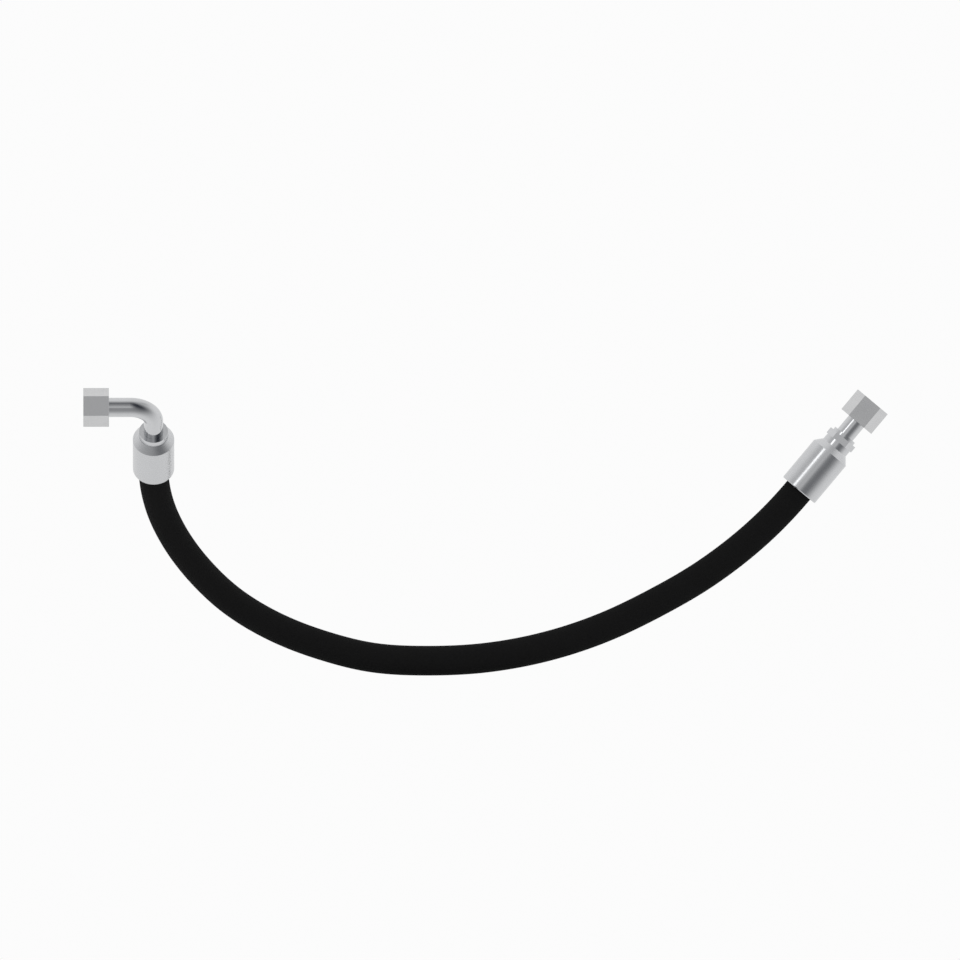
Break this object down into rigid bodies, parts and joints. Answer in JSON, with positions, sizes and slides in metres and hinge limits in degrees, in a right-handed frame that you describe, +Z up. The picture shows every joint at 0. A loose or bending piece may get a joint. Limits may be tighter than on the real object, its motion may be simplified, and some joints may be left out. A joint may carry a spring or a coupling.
{
  "type": "hydraulic hose assembly",
  "caption": "Wire-braid hydraulic hose with crimped ends: a right-angle elbow with a swivel nut at one end and a straight swivel fitting at the other.",
  "frame": {"origin": "centre of the elbow nut's mouth, on the axis of the elbow's flare port", "axes": "+X runs along the elbow nut's axis from its mouth into the assembly, towards the straight fitting; +Z is up as the hose hangs between its two ports; +Y is the way the hose leaves the elbow"},
  "size_m": [0.5268, 0.3311, 0.1886],
  "materials": {
    "cover_rubber": "smooth black synthetic rubber cover, satin",
    "inner_rubber": "black nitrile rubber, matt",
    "wire_braid": "braid of brass-coated high-tensile steel wire",
    "plated_steel": "turned steel, bright zinc-nickel plating",
    "nut_steel": "hexagon steel, bright zinc-nickel plating",
    "spring_steel": "oiled round spring wire"
  },
  "bodies": {
    "hose_and_fittings": {"inner_tube": "inner_rubber", "inner_wire_braid": "wire_braid", "friction_layer": "inner_rubber", "outer_wire_braid": "wire_braid", "hose_cover": "cover_rubber", "elbow_ferrule": "plated_steel", "elbow_insert": "plated_steel", "elbow_tube": "plated_steel", "elbow_seat_head": "plated_steel", "elbow_snap_ring": "spring_steel", "straight_ferrule": "plated_steel", "straight_stem": "plated_steel", "straight_snap_ring": "spring_steel"},
    "elbow_swivel": {"elbow_nut": "nut_steel"},
    "straight_swivel": {"straight_nut": "nut_steel"}
  },
  "joints": [
    {"name": "elbow_nut_spin", "type": "hinge", "parent": "hose_and_fittings", "child": "elbow_swivel", "pos_m": [0, 0, 0], "axis": [1, 0, 0], "continuous": true},
    {"name": "straight_nut_spin", "type": "hinge", "parent": "hose_and_fittings", "child": "straight_swivel", "pos_m": [0.51703, 0.306, 0.00334], "axis": [0.6428, 0, 0.766], "continuous": true}
  ]
}
